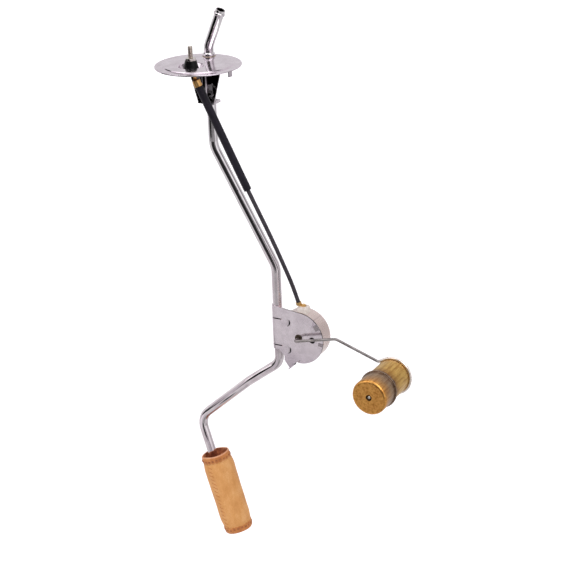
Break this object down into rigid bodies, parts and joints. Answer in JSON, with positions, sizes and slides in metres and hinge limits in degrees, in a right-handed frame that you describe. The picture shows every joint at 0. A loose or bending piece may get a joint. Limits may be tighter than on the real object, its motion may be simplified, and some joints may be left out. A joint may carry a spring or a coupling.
{
  "type": "fuel level sender",
  "caption": "In-tank fuel level sender: round sealing flange with outlet tube and insulated stud, bent pickup tube with cloth filter, drum rheostat and a brass float on a wire arm.",
  "frame": {"origin": "centre of the flange on its underside, the face that seals against the tank", "axes": "+Z along the flange's axis, out of the tank; the rheostat's plate faces -Y and the float hangs towards +X"},
  "size_m": [0.256, 0.0869, 0.5726],
  "materials": {
    "plate_steel": "bright plated stamped steel",
    "tube_steel": "bright plated tube",
    "braze": "satin braze",
    "stud": "bright nickel",
    "black_insulator": "semi-gloss moulding",
    "brass": "plain brass",
    "sleeve": "semi-matt sleeve",
    "lead": "insulated lead",
    "case_steel": "bright plated drawn can",
    "cream_block": "cream moulding",
    "card": "brown laminate",
    "winding": "fine resistance wire",
    "filter_cloth": "tan woven cloth",
    "filter_core": "dark red-brown ring",
    "arm_wire": "bright wire",
    "spring_bronze": "spring bronze",
    "silver": "silver contact",
    "float_brass": "polished brass, warm",
    "solder": "dull solder"
  },
  "bodies": {
    "sender": {"flange": "plate_steel", "fuel_tube": "tube_steel", "braze_ring": "braze", "terminal_stud": "stud", "terminal_nut": "stud", "upper_insulator": "black_insulator", "lower_insulator": "black_insulator", "upper_lug": "brass", "brace_bracket": "plate_steel", "lead_sleeve": "sleeve", "lead_wire": "lead", "lower_lug": "brass", "mounting_plate": "plate_steel", "rheostat_case": "case_steel", "terminal_block": "cream_block", "case_terminal": "brass", "contact_strap": "brass", "resistor_card": "card", "resistance_winding": "winding", "card_holder": "card", "pivot_bush": "brass", "filter_sock": "filter_cloth", "filter_foot_disc": "filter_cloth", "filter_grip_ring": "filter_core"},
    "float_lever": {"float_arm": "arm_wire", "wiper_lever": "brass", "wiper_blade": "spring_bronze", "wiper_contact": "silver", "float_front_cup": "float_brass", "float_rear_cup": "float_brass", "float_seam_solder": "solder", "float_solder_dot": "solder"}
  },
  "joints": [
    {"name": "float_swing", "type": "hinge", "parent": "sender", "child": "float_lever", "pos_m": [0.0858, 0, -0.2784], "axis": [0, -1, 0], "range_deg": [0, 72]}
  ]
}
